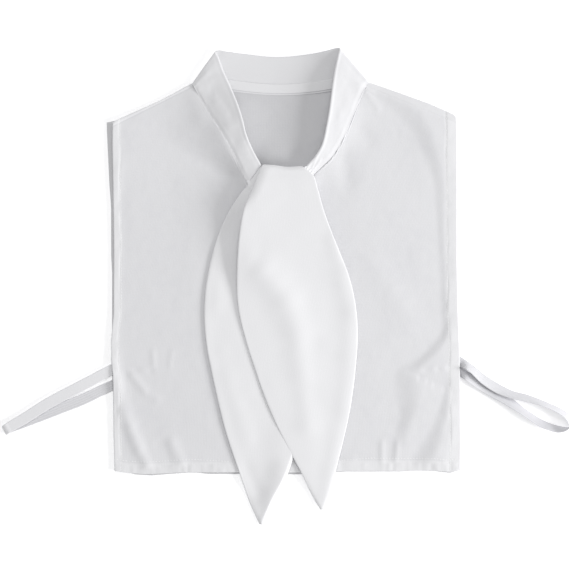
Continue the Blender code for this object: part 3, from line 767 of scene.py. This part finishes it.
collar = {
    "rows": [  # seam x, y, z, top x, y, z, crown
        (-39, 102, 13, -25, 119.5, 12.8, 0.3),
        (-46, 117, 12, -33.5, 135, 13.2, 0.2),
        (-54, 134, 10.3, -40, 150, 14.6, -0.1),
        (-66, 154.5, 8.2, -44, 166, 13.8, -0.4),
        (-79, 175, 6.1, -49.5, 183, 11.2, -0.4),
        (-87.5, 191, 5.2, -57, 201, 7.2, -0.1),
        (-91.5, 198, 5.2, -64.2, 217.2, 4.9, 0),
        (-93, 201, 4.7, -68.6, 229, 4.4, 0),
        (-94, 203, 3, -71, 234.6, 3.9, 0),
        (-91.5, 202.8, 1.3, -68.6, 235.4, 3.4, 0),
        (-82, 200.4, 1.1, -61, 234.4, 3, 0),
        (-54, 195.5, 1.1, -42, 232, 1.8, 0),
        (-6, 191.7, 1.1, -9, 229, 1.3, 0),
        (41, 195.5, 1.9, 25, 232.3, 3, 0),
        (69, 201.5, 3, 41, 235.6, 7, 0),
        (78, 203.9, 3.2, 48.6, 237.6, 8.6, 0),
        (80.6, 204.2, 4.2, 51.6, 237.8, 9.6, 0),
        (78.6, 201.2, 5, 50.6, 230.5, 10.8, 0),
        (76, 197.3, 6.8, 47.9, 218, 11.6, -0.2),
        (71, 186, 7.8, 45, 199, 14.2, -0.5),
        (64, 167, 8.6, 42.8, 181, 15, -0.6),
        (55, 146.5, 8.6, 39.2, 160, 14.8, -0.5),
        (44, 128.5, 7.8, 34.2, 140, 13.6, -0.3),
        (35, 119.5, 8.2, 26.7, 128, 12.4, -0.2),
        (26, 111, 9, 15.5, 116, 11.8, 0)],
    "wall": 1.3,
    "lap": 0.25,            # middle of the seam edge above the middle of the front
    "seamRoll": 5.0,        # the band thins out towards its seam over this far
    "endRoll": (1.4, 3.5),  # and towards its ends, left and right
    "overlap": -0.03,       # the seam edge laps over the panels by this share of the stand
    "steps": 10,
    "cells": 44,
    "backRows": (9, 15),    # rows that show their inner side at the back of the neck
    "creases": [  # x0, y0, x1, y1, half width, height; the turn at each shoulder and the gathers
        (-92.5, 196, -79.5, 175, 1, 0.5),
        (-89, 196, -81, 182, 1, 0.4),
        (29.5, 129, 25, 118, 1.2, 0.35),
        (33, 126, 26.5, 116, 1.2, 0.30),
        (38, 124, 30, 115.5, 1.4, 0.2),
        (-70, 182, -58, 160, 6, 0.6),
        (60, 186, 50, 160, 6, 0.5)],
    "layers": 0.6,
    "bead": 0.3,            # the turned cloth along the top edge
    "rim": (8, 0.6),        # left of the neck the top edge turns down over this far, by this,
    "rimFrom": (-20, 10),   # from this x leftwards over this far
    "onFront": (2.6, 1.5),  # a seam above this height, over this much more, lies on the front
    "onFrontBlend": 0.1,
    "stands": (3, 2),       # creases and rim grow in from this height over this much more
    "topRoll": 1.4,         # radius of the rounded top edge
    "least": 0.12,          # share of the wall left at the seam and the ends
    "beadPlace": (1.6, 1.4),    # the bead's distance from the top edge and half width
    "ripples": [(0.18, 9, 31), (0.10, 4, 32)],
    "binding": (0.02, 0.27),    # the turned inner edge, in shares of the stand
    "bindingWall": 0.5,
    "bindingCells": 14,
    "bindingRoll": 0.7,
}


def collarSurface(shares, rows):
    # straight sections from the neck seam to the top edge, bowed up by crown * 4s(1 - s),
    # on the smooth curve through the table's rows, the seam kept a lap above the front
    sections = throughRows(rows, collar["steps"])
    over = frontHeight(sections[:, 0], sections[:, 1]) + collar["lap"] - sections[:, 2]
    onFront = fadeIn(sections[:, 2], *collar["onFront"])
    sections[:, 2] += softMax(over, 0.0, collar["onFrontBlend"]) * onFront
    points = between(sections, slice(0, 3), slice(3, 6), shares)
    points[..., 2] += sections[:, 6:7] * 4.0 * shares * (1.0 - shares)
    return points, np.linalg.norm(sections[:, 3:6] - sections[:, 0:3], axis=1)[:, None]


def makeCollarBand():
    # the collar's surface, thinned towards seam and ends, its left top edge turned down by
    # turnDown * (1 - distance / reach)^2, with creases, a bead along the top and ripples
    shares = collar["overlap"] + (1.0 - collar["overlap"]) * cosinePlaces(collar["cells"])
    middle, width = collarSurface(shares, collar["rows"])
    x, y = middle[..., 0], middle[..., 1]
    fromTop = (1.0 - shares) * width
    fromSeam = (shares - shares[0]) * width
    run = runningLength(middle[:, -1])[:, None]
    thin = smoothStep(fromSeam / collar["seamRoll"]) * smoothStep(run / collar["endRoll"][0])
    thin = thin * smoothStep((run[-1] - run) / collar["endRoll"][1])
    share = rolledEdge(fromTop, collar["topRoll"])
    share = share * (collar["least"] + (1.0 - collar["least"]) * thin)
    reach, turnDown = collar["rim"]
    start, rimRun = collar["rimFrom"]
    rim = turnDown * np.maximum(1.0 - fromTop / reach, 0.0) ** 2 * smoothStep((start - x) / rimRun)
    middle[..., 2] -= rim * fadeIn(middle[..., 2], *collar["stands"])
    relief = foldSize(x, y, collar["creases"]) * fadeIn(middle[..., 2], *collar["stands"])
    beadAt, beadWidth = collar["beadPlace"]
    relief = relief + collar["bead"] * bell(fromTop - beadAt, beadWidth)
    relief = relief + ripples(x, y, collar["ripples"])
    item, _ = clothShell("collarBand", middle, collar["wall"], share, relief * share, collar["layers"])
    return finishPiece(item, collarCloth, "collar_cloth", "collar_band")


def makeNeckBinding():
    # the turned inner edge of the stand: the lowest part of its inner side at the back,
    # moved off it by half of both walls
    first, last = collar["backRows"]
    start, end = collar["binding"]
    shares = start + (end - start) * cosinePlaces(collar["bindingCells"])
    middle, width = collarSurface(shares, collar["rows"][first:last + 1])
    normal = gridNormals(middle)
    normal = normal * np.sign(normal[..., 2:3])
    offset = (collar["wall"] + collar["bindingWall"]) / 2.0
    middle = middle + normal * offset
    edge = np.minimum(shares - shares[0], shares[-1] - shares) * width
    share = rolledEdge(edge, collar["bindingRoll"])
    x, y = middle[..., 0], middle[..., 1]
    relief = 0.12 * softNoise(x, y * 0.4, 5.0, 41)
    item, top = clothShell("neckBinding", middle, collar["bindingWall"], share, relief * share, 1.0)
    return finishPiece(item, collarCloth, "collar_cloth"), top


underTail = {
    "rows": [  # left x, y, own height, right x, y, own height, share of the ground's height
        (-40, 104.6, 12.2, -27.2, 121.2, 12.1, 0),
        (-39.2, 101.6, 12.6, -24.2, 118.2, 12.8, 0),
        (-44, 95.3, 12, -18, 108, 13.8, 0),
        (-50.5, 86.3, 9.4, -14, 96, 12.4, 0.2),
        (-64.2, 62, 1.4, 1, 71, 0.8, 1),
        (-74.8, 31, 0.4, 13, 36, 0.3, 1),
        (-81.2, -2, 0.3, 22, 1, 0.3, 1),
        (-82.8, -32, 0.3, 26, -32, 0.3, 1),
        (-80.2, -60.7, 0.3, 26, -61, 0.3, 1),
        (-73.9, -93, 0.3, 23, -94, 0.3, 1),
        (-61.2, -146, 0.2, 13, -146, 0.2, 1),
        (-47.6, -187, 0.2, 1, -187, 0.6, 1),
        (-36.4, -219, 0, -14.6, -217, 0.8, 1),
        (-27.6, -238.2, 0, -24.2, -238.2, 0.4, 1)],
    "wall": 1.1,
    "gap": 0.3,
    "edgeLift": 0.35,       # the sewn edges stand up a little
    "edgeReach": 6.0,
    "puff": 0.2,            # air between the two layers
    "blend": 0.1,
    "liftEnds": (-215, 20, 100, 40),    # only above this y, over this far, and below this y
    "roll": 1.5,
    "ripples": [(0.12, 13, 51)],
    "steps": 12,
    "cells": 56,
    "ridges": [  # x0, y0, x1, y1, half width, height
        (-68, 30, -70, -20, 8, 0.54),
        (-60, -90, -40, -150, 9, 0.45),
        (2, -150, -3, -182, 18, 1.4),
        (-3, -182, -14, -216, 13, 2.6),
        (-14, -216, -21, -232, 7, 1.08)],
    "troughs": [  # x0, y0, x1, y1, half width, depth
        (-40, -182, -30, -206, 7, 0.45)],
}


def makeTieTailUnder():
    # sections across the leaf at own height + share * ground, never under the ground, blown
    # up by puff * (1 - (2s - 1)^4), the edges lifted by edgeLift * exp(-(distance / reach)^2)
    sections = throughRows(underTail["rows"], underTail["steps"])
    shares = cosinePlaces(underTail["cells"])
    points = between(sections, slice(0, 3), slice(3, 6), shares)
    x, y = points[..., 0], points[..., 1]
    width = np.linalg.norm(sections[:, 3:5] - sections[:, 0:2], axis=1)[:, None]
    edge = np.minimum(shares, 1.0 - shares) * width
    low, lowRun, high, highRun = underTail["liftEnds"]
    lift = underTail["edgeLift"] * bell(edge, underTail["edgeReach"]) * fadeIn(y, low, lowRun)
    lift = lift * smoothStep((high - y) / highRun)
    lying = tieGround(x, y) + underTail["gap"] + underTail["wall"] / 2.0 + lift
    own = points[..., 2] + lying * np.clip(sections[:, 6:7], 0.0, 1.0)
    z = softMax(lying, own, underTail["blend"])
    share = rolledEdge(edge, underTail["roll"])
    relief = underTail["puff"] * (1.0 - (2.0 * shares - 1.0) ** 4) * smoothStep(edge / 5.0)
    relief = relief + foldSize(x, y, underTail["ridges"]) - foldSize(x, y, underTail["troughs"])
    relief = relief + ripples(x, y, underTail["ripples"])
    z = z + relief * share * smoothStep(edge / 3.0)
    item, _ = clothShell("tieTailUnder", np.dstack([x, y, z]), underTail["wall"], share, 0.0, 1.0)
    return finishPiece(item, tieCloth, "tie_cloth", "tie_tail_under")


overTail = {
    "rows": [  # left x, y, right x, y, height, drop at the left and right edge, 1 where it rests
        (-16, 106, 13, 106, 10.4, 0, 0, 0),
        (-18, 114, 14, 113.5, 10.8, 0, 0, 0),
        (-20.5, 119.3, 15, 118, 12.6, 0, 0, 0),
        (-23.8, 120.8, 15.8, 119.2, 13, 0, 0, 0),
        (-25.5, 118.5, 18.5, 117, 14.6, -0.6, 0.1, 1),
        (-29, 110, 25.5, 111.5, 15.8, -0.9, -0.3, 1),
        (-35, 95, 31, 96, 16.5, -1, -0.4, 1),
        (-42.2, 79, 36, 78, 16.5, -1, -0.5, 1),
        (-46.4, 59.5, 43, 58, 15.6, -0.8, -0.5, 1),
        (-49, 34, 53, 33, 13, -0.5, -0.4, 1),
        (-50, 14, 60.5, 14, 11, 0, -0.4, 1),
        (-50.2, -4, 65.5, -3, 8.2, 0.3, -0.4, 1),
        (-47.7, -28.5, 69.7, -28, 6, 0, -0.5, 1),
        (-41.3, -54, 70.6, -54, 3, 0, -0.4, 1),
        (-34, -77.5, 69, -78, 0, 0, 0, 1),
        (-17.2, -123.8, 63, -124, 0, 0, 0, 1),
        (2.4, -164.5, 53.5, -166, 0, 0, 0, 1),
        (15.1, -188.3, 47.6, -188.5, 0, 0, 0, 1),
        (26, -211, 41.6, -210, 0, 0, 0, 1),
        (33, -223.2, 36.6, -223.2, 0, 0, 0, 1)],
    "wall": 1.1,
    "gap": 0.3,
    "leftRoll": 1.8,        # its left edge turns down beside the knot
    "leftRollReach": 10.0,
    "leftRollAlong": (72, 24, 122, 6),  # above this y, over this far, and below this y
    "topSag": (1.4, 0.6, 0.25, 120, 5),     # the turn over the knot sags by, at share, width, y, width
    "underEdgeRun": 70.0,   # it comes down past the under tail's edge over this far
    "hangBlend": 2.0,
    "edgeLift": 0.1,
    "edgeReach": 5.0,
    "edgeFrom": (-205, 20),     # the edges lift from this y over this far
    "puff": 0.4,
    "roll": 1.5,
    "ripples": [(0.12, 14, 61)],
    "steps": 12,
    "cells": 64,
    "ridges": [  # x0, y0, x1, y1, half width, height
        (-37, 25, -22, 14, 13, 1.1),
        (-22, 14, -1, -14, 16, 2.2),
        (-1, -14, 10, -45, 15, 2.1),
        (9, -45, 15, -90, 12, 1.4),
        (15, -90, 20, -140, 10, 0.8),
        (45, 45, 56, 12, 8, 0.8),
        (56, 12, 64.5, -28, 11, 1.3),
        (64.5, -28, 65, -70, 12, 1.4),
        (65, -70, 58, -125, 11, 1.2),
        (58, -125, 47, -170, 9, 0.9),
        (47, -178, 38, -218, 10, 0.9)],
}


def makeTieTailOver():
    # each section hangs at height - drop * (2s - 1)^2, with its own drop on each side, or
    # lies on what is under it, whichever is higher by softMax
    sections = throughRows(overTail["rows"], overTail["steps"])
    shares = cosinePlaces(overTail["cells"])
    points = between(sections, slice(0, 2), slice(2, 4), shares)
    x, y = points[..., 0], points[..., 1]
    width = np.linalg.norm(sections[:, 2:4] - sections[:, 0:2], axis=1)[:, None]
    edge = np.minimum(shares, 1.0 - shares) * width
    underEdge = np.array(underTail["rows"])[::-1, 3:5]
    pastUnder = x - np.interp(y, underEdge[:, 1], underEdge[:, 0])
    step = underTail["wall"] + underTail["puff"] + 2.0 * underTail["gap"]
    step = step * (1.0 - smoothStep(pastUnder / overTail["underEdgeRun"] - 0.1))
    rest = tieGround(x, y) + step + overTail["gap"] + overTail["wall"] / 2.0
    drop = np.where(shares < 0.5, sections[:, 5:6], sections[:, 6:7])
    hang = sections[:, 4:5] - drop * (2.0 * shares - 1.0) ** 2
    lying = softMax(rest, hang, overTail["hangBlend"])
    lift = overTail["edgeLift"] * bell(edge, overTail["edgeReach"])
    lying = lying + lift * fadeIn(y, *overTail["edgeFrom"])
    lying = lying + foldSize(x, y, overTail["ridges"])
    rests = np.round(sections[:, 7:8])
    z = hang * (1.0 - rests) + lying * rests
    low, lowRun, high, highRun = overTail["leftRollAlong"]
    rolled = overTail["leftRoll"] * fadeIn(y, low, lowRun) * smoothStep((high - y) / highRun)
    z = z - rolled * np.maximum(1.0 - shares * width / overTail["leftRollReach"], 0.0) ** 2
    share = rolledEdge(edge, overTail["roll"])
    relief = overTail["puff"] * (1.0 - (2.0 * shares - 1.0) ** 4)
    relief = relief + ripples(x, y, overTail["ripples"])
    sag, sagShare, shareWidth, sagY, width = overTail["topSag"]
    sag = sag * bell(shares - sagShare, shareWidth) * bell(y - sagY, width)
    z = z + relief * share * smoothStep(edge / 3.0)
    item, _ = clothShell("tieTailOver", np.dstack([x, y - sag, z]), overTail["wall"], share, 0.0, 1.0)
    return finishPiece(item, tieCloth, "tie_cloth", "tie_tail_over")


crossing = {
    "rows": [  # lower x, y, z, upper x, y, z
        (28.5, 113.5, 11.6, 18.5, 119.8, 14),
        (20, 103.5, 13.2, 11, 112.5, 14.4),
        (6, 96, 14, 3, 111.5, 14.4),
        (-8, 93.5, 14, -7, 110, 14.4),
        (-17, 96, 13.8, -15, 106, 14)],
    "wall": 2.0,
    "gathers": 4,
    "gatherDepth": 0.35,
}


def makeTieCrossing():
    # the ties drawn together inside the half knot: gatherDepth * cos along the bunch
    sections = throughRows(crossing["rows"], 10)
    shares = cosinePlaces(28)
    middle = between(sections, slice(0, 3), slice(3, 6), shares)
    share = rolledEdge(np.minimum(shares, 1.0 - shares) * 16.0, 1.5)
    gathers = crossing["gatherDepth"] * np.cos(2.0 * math.pi * crossing["gathers"] * shares)
    item, _ = clothShell("tieCrossing", middle, crossing["wall"], share, gathers * share, 1.0)
    return finishPiece(item, tieCloth, "tie_cloth", "tie_crossing")


tape = {
    "wall": 0.8,
    "width": 11.0,
    "cells": 14,
    "steps": 10,
    "ribs": 5,              # lengthwise ribs of the elastic
    "ribDepth": 0.10,
    "ease": 14.0,           # distance from its ends over which the right loop leaves the flat
    "left": [  # upper edge x, y, lower edge x, y, z
        (-174, -77, -174, -88.8, 2),
        (-190, -85.3, -185.5, -95.3, 2.2),
        (-206.6, -94, -201.7, -104.1, 2.4),
        (-242.4, -113, -237, -122.8, 2.5),
        (-269.1, -130, -263, -139, 2.6),
        (-279, -135.9, -274, -145, 2.8),
        (-283.4, -139, -278.7, -147.7, 2.75),
        (-285, -140, -280.4, -148.7, 1.7),
        (-283.4, -139, -278.7, -147.7, 0.75),
        (-279.5, -136.6, -274.5, -146, 0.65),
        (-269.4, -132.5, -265, -142.6, 0.6),
        (-228.9, -117.1, -224.5, -127.2, 0.6),
        (-202.1, -106.4, -197.7, -116.5, 0.6),
        (-188, -99.6, -184, -109.5, 0.6),
        (-173.4, -93, -173.4, -104.4, 0.6)],
    "right": [  # table edge x, y, raised edge x, y, table edge z
        (172.2, -69.8, 172.2, -82, 2),
        (178.5, -73.8, 175.5, -82, 1.6),
        (185, -78.5, 180.5, -84.6, 1.2),
        (200, -90.5, 194.5, -97.6, 0.7),
        (216, -100, 211.5, -108.2, 0.6),
        (224.5, -104.2, 220.5, -111.5, 0.6),
        (243, -109.5, 241, -116.5, 0.6),
        (261.5, -117, 258.5, -121.5, 0.6),
        (276.5, -124, 273, -128.8, 0.6),
        (282.3, -128.5, 278, -133, 0.6),
        (284.8, -135, 281, -138.5, 0.6),
        (283, -140.5, 281.5, -142, 0.6),
        (277.5, -141, 277.2, -145.1, 0.6),
        (273, -140.1, 272, -146.3, 0.6),
        (261, -136.4, 258, -143, 0.6),
        (236, -120.9, 231.5, -127.2, 0.6),
        (225.5, -112.7, 218.5, -119.3, 0.6),
        (197.9, -95.5, 192.5, -104.5, 0.6),
        (180.5, -85, 176.5, -93, 0.6),
        (171.9, -79.3, 171.9, -90.3, 0.6)],
}


def makeStrap(name, first, second, node, paintedLitShare):
    # flat tape between two edge curves, with ribDepth * cos across it; the last argument is
    # the share of the lit tone, and where it is low, shade is painted on the tape
    shares = np.linspace(0.0, 1.0, tape["cells"] * 2 + 1)
    middle = first[:, None] + (second - first)[:, None] * shares[None, :, None]
    edge = np.minimum(shares, 1.0 - shares) * tape["width"]
    share = rolledEdge(edge, 0.5)
    ribs = -tape["ribDepth"] * np.cos(2.0 * math.pi * tape["ribs"] * shares)
    item, _ = clothShell(name, middle, tape["wall"], share, ribs * share, paintedLitShare[:, None])
    return finishPiece(item, tapeCloth, "elastic_tape", node)


def makeStrapLeft():
    # flat all along and folded back on itself; painted mostly in the lit tone up to the fold
    # and darker past it: painted shade on the returning leg
    sections = throughRows(tape["left"], tape["steps"])
    upper = sections[:, [0, 1, 4]]
    lower = sections[:, [2, 3, 4]]
    turned = np.arange(len(sections)) > 7 * tape["steps"]
    return makeStrap("strapLeft", upper, lower, "strap_left", np.where(turned, 0.2, 0.7))


def makeStrapRight():
    # the raised edge stands at sqrt(width^2 - plan^2) over the table edge, eased to nothing
    # at both ends
    sections = throughRows(tape["right"], tape["steps"])
    plan = np.linalg.norm(sections[:, 2:4] - sections[:, 0:2], axis=1)
    run = runningLength(sections[:, 0:2])
    ease = smoothStep(run / tape["ease"]) * smoothStep((run[-1] - run) / tape["ease"])
    rise = np.sqrt(np.maximum(tape["width"] ** 2 - plan ** 2, 0.0)) * ease
    onTable = sections[:, [0, 1, 4]]
    raised = np.column_stack([sections[:, 2:4], sections[:, 4] + rise])
    # the whole right strap gets the darker tone: painted shade
    return makeStrap("strapRight", onTable, raised, "strap_right", np.zeros(len(sections)))


tableTop = makeTable()
backPanel = makeBackPanel()
frontPanel, frontTop, fromEdge = makeFrontPanel()
print("panels")
collarBand = makeCollarBand()
neckBinding, bindingTop = makeNeckBinding()
print("collar")
tieTailUnder = makeTieTailUnder()
tieTailOver = makeTieTailOver()
tieCrossing = makeTieCrossing()
print("tie ends")
strapLeft = makeStrapLeft()
strapRight = makeStrapRight()
print("straps")

frontUp = gridNormals(frontTop)
middleRow = len(frontTop) // 2
middleColumn = frontTop.shape[1] // 2
hemRow = np.argmin(abs(fromEdge["hem"][:, middleColumn] - bib["bottomHem"] + hems["fromStitch"]))
leftColumn = np.argmin(abs(fromEdge["left"][middleRow] - bib["leftHem"] + hems["fromStitch"]))
rightColumn = np.argmin(abs(fromEdge["right"][middleRow] - bib["rightHem"] + hems["fromStitch"]))
hemStitches = sewStitches("hemStitches", frontTop[hemRow], frontUp[hemRow], "front_cloth", 71)
leftStitches = sewStitches(
    "leftSideStitches", frontTop[:, leftColumn], frontUp[:, leftColumn], "front_cloth", 72)
rightStitches = sewStitches(
    "rightSideStitches", frontTop[:, rightColumn], frontUp[:, rightColumn], "front_cloth", 73)
bindingUp = gridNormals(bindingTop)
bindingUp = bindingUp * np.sign(bindingUp[..., 2:3])
neckStitches = sewStitches("neckStitches", bindingTop[:, 3], bindingUp[:, 3], "collar_cloth", 74)
print("stitching")

view = {
    "distance": 5.5,        # in metres, straight up
    "frame": 0.573,         # width of what the camera sees on the table, in metres
    "sensor": 36.0,
    "aim": (-0.0005, -0.0005),
}


def makeCamera():
    # straight down, with lens = sensor * distance / frame
    data = bpy.data.cameras.new("camera")
    data.sensor_width = view["sensor"]
    data.lens = view["sensor"] * view["distance"] / view["frame"]
    data.clip_end = 20.0
    item = placeObject("camera", data)
    item.location = (*view["aim"], view["distance"])
    bpy.context.scene.camera = item


lights = {
    "key": {"place": (2.388, -0.64, 0.9), "size": 0.8, "power": 59.0},
    "top": {"place": (0.0, 1.4, 2.4), "size": 1.4, "power": 22.5},
    "sky": 0.44,
}


def makeLight(name, place, size, power):
    # a square soft box that faces the garment
    data = bpy.data.lights.new(name, "AREA")
    data.shape = "SQUARE"
    data.size = size
    data.energy = power
    item = placeObject(name, data)
    item.location = place
    x, y, z = place
    item.rotation_euler = (math.atan2(math.hypot(x, y), z), 0.0, math.atan2(y, x) + math.pi / 2.0)


def makeSky():
    # even white light from all round, which keeps the shadows pale
    world = bpy.data.worlds.new("studio")
    world.use_nodes = True
    sky = world.node_tree.nodes["Background"]
    sky.inputs["Color"].default_value = (1.0, 1.0, 1.0, 1.0)
    sky.inputs["Strength"].default_value = lights["sky"]
    bpy.context.scene.world = world


makeCamera()
for lamp in ("key", "top"):
    makeLight(lamp, **lights[lamp])
makeSky()
bpy.context.scene.view_settings.view_transform = "Standard"
bpy.context.scene.view_settings.look = "None"
print("camera and lights")
